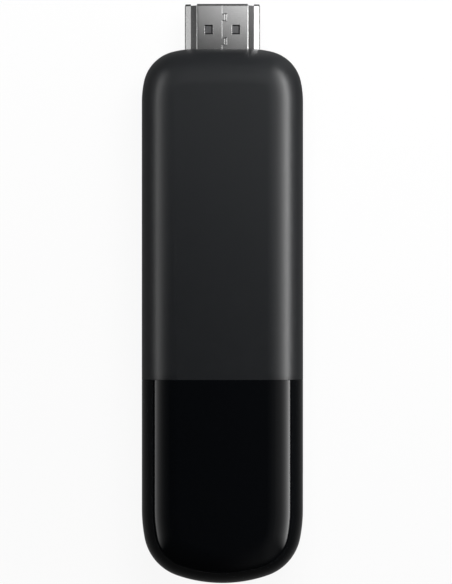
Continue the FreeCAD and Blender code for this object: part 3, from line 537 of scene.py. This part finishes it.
openingBack, openingFront = (body["head"] + reach for reach in plug["openingReach"])
for cover in (rearTray, matteCover):
    carve(cover, plugSolid("plugOpening", plug, openingFront, openingBack, growth=plug["openingGap"]))
for cover in (rearTray, glossCover):
    carve(cover, inletCutter(inlet))
for cover in (rearTray, matteCover, glossCover):
    smooth(cover, body["smoothing"])
print("openings ready")


# an output of a shader's node, so that maths on it reads as Python

class Wire:
    def __init__(self, finish, socket):
        self.finish = finish
        self.socket = socket

    def maths(self, operation, first, second=0.0):
        return self.finish.node("ShaderNodeMath", {"operation": operation}, {0: first, 1: second})

    def __add__(self, other):
        return self.maths("ADD", self, other)

    def __radd__(self, other):
        return self.maths("ADD", other, self)

    def __sub__(self, other):
        return self.maths("SUBTRACT", self, other)

    def __rsub__(self, other):
        return self.maths("SUBTRACT", other, self)

    def __mul__(self, other):
        return self.maths("MULTIPLY", self, other)

    def __rmul__(self, other):
        return self.maths("MULTIPLY", other, self)

    def __truediv__(self, other):
        return self.maths("DIVIDE", self, other)

    def __pow__(self, other):
        return self.maths("POWER", self, other)

    def __rpow__(self, other):
        return self.maths("POWER", other, self)

    def size(self):
        return self.maths("ABSOLUTE", self)

    def angle(self):
        return self.maths("ARCTANGENT", self)

    def least(self, other):
        return self.maths("MINIMUM", self, other)

    def most(self, other):
        return self.maths("MAXIMUM", self, other)


class Finish:
    def __init__(self, owner):
        owner.use_nodes = True
        self.owner = owner
        self.nodes = owner.node_tree.nodes
        self.links = owner.node_tree.links
        self.nodes.clear()

    def node(self, kind, settings=None, inputs=None, output=0):
        made = self.nodes.new(kind)
        for name, value in (settings or {}).items():
            setattr(made, name, value)
        for name, value in (inputs or {}).items():
            if isinstance(value, Wire):
                self.links.new(value.socket, made.inputs[name])
            else:
                made.inputs[name].default_value = value
        return Wire(self, made.outputs[output])

    def end(self, shader, kind="ShaderNodeOutputMaterial"):
        self.links.new(shader.socket, self.nodes.new(kind).inputs["Surface"])

    def place(self):
        return self.node("ShaderNodeTexCoord", output="Object")

    def noise(self, place, scale):
        return self.node("ShaderNodeTexNoise", {"noise_dimensions": "3D"},
                         {"Vector": place, "Scale": scale, "Detail": 2.0, "Roughness": 0.5})

    def stretched(self, place, scale):
        return self.node("ShaderNodeMapping", {"vector_type": "POINT"}, {"Vector": place, "Scale": scale})

    def mixed(self, factor, first, second):
        # sockets 6 and 7 are the colours, and output 2 is their mixture
        colours = {6: (*first, 1.0), 7: (*second, 1.0)}
        return self.node("ShaderNodeMix", {"data_type": "RGBA"}, {"Factor": factor, **colours}, output=2)

    def ramp(self, value, low, high):
        return self.node("ShaderNodeMapRange", {"interpolation_type": "SMOOTHSTEP"},
                         {"Value": value, "From Min": low, "From Max": high, "To Min": 0.0, "To Max": 1.0})

    def xyz(self, vector):
        parts = self.node("ShaderNodeSeparateXYZ", None, {0: vector})
        return [Wire(self, parts.socket.node.outputs[name]) for name in "XYZ"]

    def bump(self, height, strength, distance, under=None):
        inputs = {"Height": height, "Strength": strength, "Distance": distance}
        if under is not None:
            inputs["Normal"] = under
        return self.node("ShaderNodeBump", None, inputs)


def surface(colour, roughness, normal, **constants):
    finish = colour.finish
    inputs = {"Base Color": colour, "Roughness": roughness, "Normal": normal}
    for key, value in constants.items():
        inputs[{"metallic": "Metallic", "ior": "IOR", "specular": "Specular IOR Level"}[key]] = value
    finish.end(finish.node("ShaderNodeBsdfPrincipled", None, inputs))
    return finish.owner


# what the finishes share: a fine grain, and broad patches under it
grain = {
    "broadening": 14,
    "fineShare": 0.6,
    "patches": 0.08,
}


def grained(name, values):
    # two colours mixed by the grain, patches of roughness, and a bump
    v = {**grain, **values}
    finish = Finish(bpy.data.materials.new(name))
    place = finish.place()
    if "stretch" in v:
        place = finish.stretched(place, v["stretch"])
    fine = finish.noise(place, v["scale"])
    broad = finish.noise(place, v["scale"] / v["broadening"])
    mixture = fine * v["fineShare"] + broad * (1 - v["fineShare"])
    colour = finish.mixed(mixture, v["dark"], v["light"])
    roughness = v["roughness"] + (broad - 0.5) * v["patches"]
    normal = finish.bump(fine, v["strength"], v["depth"] * mm)
    if "crown" in v:
        # the face is a touch convex across its width, and along its length
        x, y, z = finish.xyz(finish.place())
        across, along = v["crown"]
        normal = finish.bump(x ** 2 * -across - y ** 2 * along, 1.0, 1.0, normal)
    constants = {key: v[key] for key in ("metallic", "ior", "specular") if key in v}
    return surface(colour, roughness, normal, **constants)


finishes = {
    "matteShell": {
        "scale": 5200, "dark": (0.0067, 0.0077, 0.0090), "light": (0.0098, 0.0110, 0.0128), "roughness": 0.36,
        "patches": 0.04, "strength": 0.12, "depth": 0.01, "ior": 1.6, "specular": 0.9, "crown": (2.6, 1.4)},
    "rearShell": {
        "scale": 4200, "dark": (0.010, 0.0105, 0.011), "light": (0.015, 0.0155, 0.016), "roughness": 0.46,
        "patches": 0.05, "strength": 0.2, "depth": 0.015},
    "glossShell": {
        "scale": 900, "dark": (0.0012, 0.0015, 0.0021), "light": (0.0020, 0.0025, 0.0033), "roughness": 0.07,
        "patches": 0.03, "strength": 0.004, "depth": 0.01, "specular": 0.54, "crown": (0.8, 0.0)},
    "plugSteel": {
        "scale": 3000, "dark": (0.66, 0.66, 0.66), "light": (0.79, 0.79, 0.79), "roughness": 0.25,
        "patches": 0.12, "strength": 0.05, "depth": 0.01, "metallic": 1.0},
    "latchSteel": {
        "scale": 2600, "dark": (0.24, 0.24, 0.25), "light": (0.42, 0.42, 0.43), "roughness": 0.45,
        "patches": 0.1, "strength": 0.4, "depth": 0.02, "metallic": 1.0},
    "inletSteel": {
        "scale": 3000, "dark": (0.52, 0.52, 0.52), "light": (0.66, 0.66, 0.66), "roughness": 0.34,
        "patches": 0.1, "strength": 0.1, "depth": 0.01, "metallic": 1.0},
    "blackPlastic": {
        "scale": 2600, "dark": (0.012, 0.012, 0.013), "light": (0.022, 0.022, 0.024), "roughness": 0.5,
        "strength": 0.15, "depth": 0.01},
    "contactGold": {
        "scale": 2400, "dark": (0.78, 0.52, 0.20), "light": (0.90, 0.66, 0.30), "roughness": 0.28,
        "strength": 0.08, "depth": 0.01, "metallic": 1.0},
    "boardGreen": {
        "scale": 900, "dark": (0.006, 0.045, 0.020), "light": (0.012, 0.085, 0.035), "roughness": 0.38,
        "strength": 0.1, "depth": 0.02},
    "screwSteel": {
        "scale": 1800, "dark": (0.42, 0.41, 0.40), "light": (0.58, 0.57, 0.56), "roughness": 0.36,
        "strength": 0.12, "depth": 0.01, "metallic": 1.0},
    "canTin": {
        "scale": 700, "dark": (0.62, 0.62, 0.60), "light": (0.74, 0.74, 0.72), "roughness": 0.34,
        "patches": 0.15, "strength": 0.1, "depth": 0.01, "metallic": 1.0},
    "chipEpoxy": {
        "scale": 3200, "dark": (0.014, 0.014, 0.015), "light": (0.030, 0.030, 0.032), "roughness": 0.62,
        "strength": 0.3, "depth": 0.01},
    "padGrey": {
        "scale": 1500, "dark": (0.30, 0.33, 0.36), "light": (0.40, 0.43, 0.46), "roughness": 0.75,
        "strength": 0.3, "depth": 0.03},
    "spreaderAluminium": {
        "scale": 1600, "dark": (0.66, 0.67, 0.68), "light": (0.80, 0.81, 0.82), "roughness": 0.36,
        "stretch": (1.0, 0.06, 1.0), "strength": 0.2, "depth": 0.01, "metallic": 1.0},
    "ferrite": {
        "scale": 2600, "dark": (0.05, 0.05, 0.052), "light": (0.10, 0.10, 0.104), "roughness": 0.7,
        "strength": 0.35, "depth": 0.02},
    "capacitorCeramic": {
        "scale": 2200, "dark": (0.33, 0.22, 0.13), "light": (0.46, 0.33, 0.21), "roughness": 0.5,
        "strength": 0.2, "depth": 0.01},
    "antennaMetal": {
        "scale": 1400, "dark": (0.60, 0.58, 0.54), "light": (0.74, 0.72, 0.68), "roughness": 0.33,
        "strength": 0.1, "depth": 0.01, "metallic": 1.0},
}

slotFinish = {
    "rear_shell": "rearShell",
    "matte_shell": "matteShell",
    "gloss_shell": "glossShell",
    "plug_steel": "plugSteel",
    "black_plastic": "blackPlastic",
    "contact_gold": "contactGold",
    "inlet_steel": "inletSteel",
    "board_green": "boardGreen",
    "screw_steel": "screwSteel",
    "can_tin": "canTin",
    "chip_epoxy": "chipEpoxy",
    "pad_grey": "padGrey",
    "spreader_aluminium": "spreaderAluminium",
    "ferrite": "ferrite",
    "capacitor_ceramic": "capacitorCeramic",
    "antenna_metal": "antennaMetal",
}

made = {name: grained(name, values) for name, values in finishes.items()}


def dressIn(piece, material):
    piece.data.materials.clear()
    piece.data.materials.append(material)


# pieces that stand for CAD nodes: each with its node and its slot
coverPieces = (
    (rearTray, "rear_cover", "rear_shell"),
    (matteCover, "front_cover", "matte_shell"),
    (glossCover, "gloss_cover", "gloss_shell"),
    (plugShell, "hdmi_shell", "plug_steel"),
)

for part in frame["record"]["subparts"]:
    dressIn(frame["nodes"][part["node"]], made[slotFinish[part["material_slot"]]])
for piece, nodeName, slotName in coverPieces:
    dressIn(piece, made[slotFinish[slotName]])
    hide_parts(nodeName)
    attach(piece, "root")
print("finishes ready")


def refined(name, nodeName, degrees=30):
    # a merged and smoothed copy of a CAD node
    copy = duplicate(frame["nodes"][nodeName], name)
    for key in list(copy.keys()):
        del copy[key]
    copy.parent = None
    pickUp(copy)
    bpy.ops.object.mode_set(mode="EDIT")
    outward()
    bpy.ops.object.mode_set(mode="OBJECT")
    smooth(copy, degrees)
    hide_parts(nodeName)
    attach(copy, "root")
    return copy


refined("inletShell", "usb_shell")


# spring plates let into the plug's insulator, which show through the two windows

spring = {
    "width": 1.15,
    "length": 1.35,
    "shift": -0.1,              # from the window's middle, across
    "foot": 0.42,               # from the pocket's lower end, along
    "low": -0.29,               # both from the insulator's top face
    "high": -0.1,
    "bevel": 0.05,
    "bevelSteps": 2,
    "smoothing": 35,
    "pocketMargin": 0.25,       # of the pocket round the window
    "pocketLow": -0.3,
    "pocketHigh": 0.2,
}


def makeLatchPlates(s, p):
    insulator = refined("plugInsulator", "hdmi_insulator")
    top = body["middle"] + p["height"] / 2 - p["sheet"]
    for side, name in ((-1, "latchPlateLeft"), (1, "latchPlateRight")):
        across, along = windowSpans(p, side, s["pocketMargin"])
        upright = (top + s["pocketLow"], top + s["pocketHigh"])
        carve(insulator, makeBox("latchPocket", (across, along, upright)))
        middle = (across[0] + across[1]) / 2 + s["shift"]
        across = (middle - s["width"] / 2, middle + s["width"] / 2)
        along = (along[0] + s["foot"], along[0] + s["foot"] + s["length"])
        plate = makeBox(name, (across, along, (top + s["low"], top + s["high"])))
        modify(plate, "BEVEL", width=s["bevel"] * mm, segments=s["bevelSteps"])
        smooth(plate, s["smoothing"])
        dressIn(plate, made["latchSteel"])
        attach(plate, "root")


makeLatchPlates(spring, plug)
print("pieces ride")


# stage, in metres: what only the camera, the reflections or the lamp see

def glowing(finish, colour, strength=1.0):
    return finish.node("ShaderNodeEmission", None, {"Color": colour, "Strength": strength})


def mixedShader(finish, factor, first, second):
    return finish.node("ShaderNodeMixShader", None, {0: factor, 1: first, 2: second})


def lightPath(finish, name):
    return finish.node("ShaderNodeLightPath", output=name)


def secondHand(finish):
    # 0 in a first reflection, 1 in the reflection of a reflection
    return finish.ramp(lightPath(finish, "Glossy Depth"), 1.2, 1.8)


ground = {
    "size": 3.0,
    "level": -0.0002,
    "paper": (0.88, 0.88, 0.88, 1.0),
    "white": 0.92,              # share of plain white, the rest shows the shadow
    "allWhite": (0.25, 1.1),    # from here to there the share grows to 1
}


def makeFloor(g):
    deselectAll()
    bpy.ops.mesh.primitive_plane_add(size=g["size"], location=(0, 0, g["level"]))
    floor = bpy.context.object
    floor.name = "floor"
    settle(floor)
    finish = Finish(bpy.data.materials.new("paleFloor"))
    paper = finish.node("ShaderNodeBsdfDiffuse", None, {"Color": g["paper"]})
    seen = lightPath(finish, "Is Camera Ray").most(lightPath(finish, "Is Glossy Ray"))
    seen = seen.most(lightPath(finish, "Is Transmission Ray"))
    x, y, z = finish.xyz(finish.place())
    distant = finish.ramp((x ** 2 + y ** 2) ** 0.5, *g["allWhite"])
    share = seen * (distant * (1 - g["white"]) + g["white"])
    finish.end(mixedShader(finish, share, paper, glowing(finish, (1, 1, 1, 1))))
    dressIn(floor, finish.owner)


def card(name, place, size, turn, colourOf, strength=1.0, veil=True, **seenBy):
    # a flat lit card; colourOf gives its colour at a place, and a veil lets the sky show through
    deselectAll()
    bpy.ops.mesh.primitive_plane_add(size=1, rotation=turn)
    piece = bpy.context.object
    piece.name = name
    piece.scale = (*size, 1)
    piece.location = place
    settle(piece)
    finish = Finish(bpy.data.materials.new(name))
    x, y, z = finish.xyz(finish.place())
    shader = glowing(finish, colourOf(finish, x, y, z), strength)
    if veil:
        clear = finish.node("ShaderNodeBsdfTransparent")
        shader = finish.node("ShaderNodeAddShader", None, {0: shader, 1: clear})
    finish.end(shader)
    dressIn(piece, finish.owner)
    piece.visible_camera = False
    for way, seen in seenBy.items():
        setattr(piece, "visible_" + way, seen)
    return piece


sideCards = {
    "distance": 0.30,
    "size": (0.54, 0.96),
    "along": 0.19,
    "height": 0.342,
    "eye": 0.012,               # height of the covers' rounds, from which its elevation is taken
    "fullUpTo": 13,             # degrees
    "fade": 10,                 # degrees in which the glow falls to a third
    "tailFade": (-0.26, -0.05),
    "headFadeFrom": 0.21,
    "riseAlong": (0.0, 0.08),
    "right": {"side": 1, "glow": 6.2, "headRise": 0.12, "headFadeTo": 0.66},
    "left": {"side": -1, "glow": 2.1, "headRise": 0.0, "headFadeTo": 0.50},
}


def makeSideCard(name, c, own):
    # a tall card beside the part, brightest at its foot and fading towards both ends
    def colourOf(finish, x, y, z):
        elevation = ((z - c["eye"]) / c["distance"]).angle()
        fall = math.e ** ((elevation - math.radians(c["fullUpTo"])) / -math.radians(c["fade"]))
        rise = 1 + finish.ramp(y, *c["riseAlong"]) * own["headRise"]
        ends = finish.ramp(y, *c["tailFade"]) * (1 - finish.ramp(y, c["headFadeFrom"], own["headFadeTo"]))
        return fall.least(1.0) * rise * ends

    place = (own["side"] * c["distance"], c["along"], c["height"])
    card(name, place, c["size"], (0, -own["side"] * math.pi / 2, 0), colourOf, own["glow"])


# painted reflections: a dark sheet under the part, seen only in reflections, with glows laid out on it
mat = {
    "level": 0.0002,
    "glow": 0.05,
    "sides": (-0.02, 0.02),     # from the left side to the right side
    "near": 0.20,               # glow beside the covers
    "nearEdge": (0.0149, 0.047),
    "nearFade": 0.012,
    "nearLeft": 0.6,            # share of it on the left side
    "nearHead": (0.030, 0.045),
    "nearHeadCut": 0.35,
    "front": 0.22,              # strip before the head on the right, in two parts
    "frontFrom": (0.046, 0.056),
    "frontTo": (0.065, 0.10),
    "gapFrom": (0.007, 0.019),
    "gapTo": (0.018, 0.023),
    "outerEnd": (0.026, 0.032),
    "far": 0.03,                # distant glow beyond the head, stronger to the right
    "farRight": 0.08,
    "farSides": (0.0, 0.05),
    "farFrom": (0.06, 0.10),
}


def makePaintedReflectionMat(m):
    # a sheet seen only in reflections: it paints dark reflections into the rims of the black covers, with
    # painted reflection glows beside the covers, before the head and beyond it
    def colourOf(finish, x, y, z):
        edgeX, edgeY = m["nearEdge"]
        away = ((x.size() - edgeX).most(0.0) ** 2 + (y.size() - edgeY).most(0.0) ** 2) ** 0.5
        right = finish.ramp(x, *m["sides"])
        headCut = right * finish.ramp(y, *m["nearHead"]) * m["nearHeadCut"]
        sideShare = right * (1 - m["nearLeft"]) + m["nearLeft"]
        near = math.e ** (away / -m["nearFade"]) * sideShare * (1 - headCut) * m["near"]
        gap = finish.ramp(x, *m["gapFrom"]) - finish.ramp(x, *m["gapTo"]) + finish.ramp(x, *m["outerEnd"])
        front = right * (1 - gap) * finish.ramp(y, *m["frontFrom"]) * (1 - finish.ramp(y, *m["frontTo"]))
        far = (finish.ramp(x, *m["farSides"]) * m["farRight"] + m["far"]) * finish.ramp(y, *m["farFrom"])
        return m["glow"] + near + front * m["front"] + far

    size = (ground["size"], ground["size"])
    card("blackMat", (0, 0, m["level"]), size, (0, 0, 0), colourOf, veil=False, diffuse=False, shadow=False)


plugCards = {
    "overPlace": (0, 0.052, 0.036),
    "overSize": (0.026, 0.022),
    "from": 0.0462,             # the glow grows from here to the tip
    "growth": 70,
    "lean": 90,                 # and to the right
    "foot": 0.02,               # added everywhere, with more at the plug's root on the right
    "footRight": 18,
    "footEnd": (0.049, 0.053),
    "secondHandCut": 0.6,
    "ledgePlace": (-0.05, 0.05, 0.032),
    "ledgeSize": (0.03, 0.03),
    "ledgeTurn": 60,
    "ledgeGlow": (0.15, 0.15, 0.15, 1.0),
    "lit": ("plugShell", "latchPlateLeft", "latchPlateRight"),
}


def makePlugCards(c):
    # one small card over the plug, and one at its left ledge; both light only the plug
    def overGlow(finish, x, y, z):
        main = ((y - c["from"]) * c["growth"]).most(0.0) * (1 + x * c["lean"]).most(0.0)
        foot = c["foot"] + (x * c["footRight"]).most(0.0) * (1 - finish.ramp(y, *c["footEnd"]))
        return (main + foot) * (1 - secondHand(finish) * c["secondHandCut"])

    def ledgeGlow(finish, x, y, z):
        return c["ledgeGlow"]

    hidden = {"diffuse": False, "shadow": False}
    turn = (0, math.radians(c["ledgeTurn"]), 0)
    over = card("plugCard", c["overPlace"], c["overSize"], (math.pi, 0, 0), overGlow, **hidden)
    ledge = card("ledgeCard", c["ledgePlace"], c["ledgeSize"], turn, ledgeGlow, **hidden)
    litPieces = bpy.data.collections.new("plugPieces")
    for name in c["lit"]:
        litPieces.objects.link(bpy.data.objects[name])
    for piece in (over, ledge):
        piece.light_linking.receiver_collection = litPieces


sky = {
    "glow": 0.012,
    "head": 0.125,              # more glow beyond the head, and on the right
    "headAlong": (0.0, 0.35),
    "headUp": (-0.1, 0.3),
    "secondHandCut": 0.5,
    "right": 0.13,
    "rightAcross": (-0.1, 0.6),
    "rightUp": (0.0, 0.5),
    "horizon": 0.003,           # white band that keeps the floor's far edge out of sight
}


def makeWorld(s):
    world = bpy.data.worlds.new("studio")
    scene.world = world
    finish = Finish(world)
    x, y, z = finish.xyz(finish.node("ShaderNodeTexCoord", output="Generated"))
    beyondHead = finish.ramp(z, *s["headUp"]) * finish.ramp(y, *s["headAlong"]) * s["head"]
    rightSide = finish.ramp(z, *s["rightUp"]) * finish.ramp(x, *s["rightAcross"]) * s["right"]
    glow = s["glow"] + beyondHead * (1 - secondHand(finish) * s["secondHandCut"]) + rightSide
    dim = finish.node("ShaderNodeBackground", None, {"Color": glow, "Strength": 1.0})
    white = finish.node("ShaderNodeBackground", None, {"Color": (1, 1, 1, 1), "Strength": 1.0})
    horizon = lightPath(finish, "Is Glossy Ray") * (1 - finish.ramp(z.size(), 0.0, s["horizon"]))
    seen = lightPath(finish, "Is Camera Ray").most(lightPath(finish, "Is Transmission Ray")).most(horizon)
    finish.end(mixedShader(finish, seen, dim, white), "ShaderNodeOutputWorld")


softLamp = {
    "place": (0.03, 0.12, 0.17),
    "aim": (0, 0, 0.01),
    "size": 0.14,
    "power": 0.40,
}


def makeSoftLamp(s):
    # broad lamp over the head end; it fills, and is kept out of the reflections
    bpy.ops.object.light_add(type="AREA", location=s["place"])
    lamp = bpy.context.object
    lamp.name = "softLamp"
    lamp.data.shape = "RECTANGLE"
    lamp.data.size = s["size"]
    lamp.data.size_y = s["size"]
    lamp.data.energy = s["power"]
    lamp.rotation_euler = (Vector(s["aim"]) - lamp.location).to_track_quat("-Z", "Y").to_euler()
    lamp.visible_glossy = False


makeFloor(ground)
makeSideCard("rightCard", sideCards, sideCards["right"])
makeSideCard("leftCard", sideCards, sideCards["left"])
# the sheet that paints the covers' dark rims and reflection glows
makePaintedReflectionMat(mat)
makePlugCards(plugCards)
makeWorld(sky)
makeSoftLamp(softLamp)
print("stage ready")
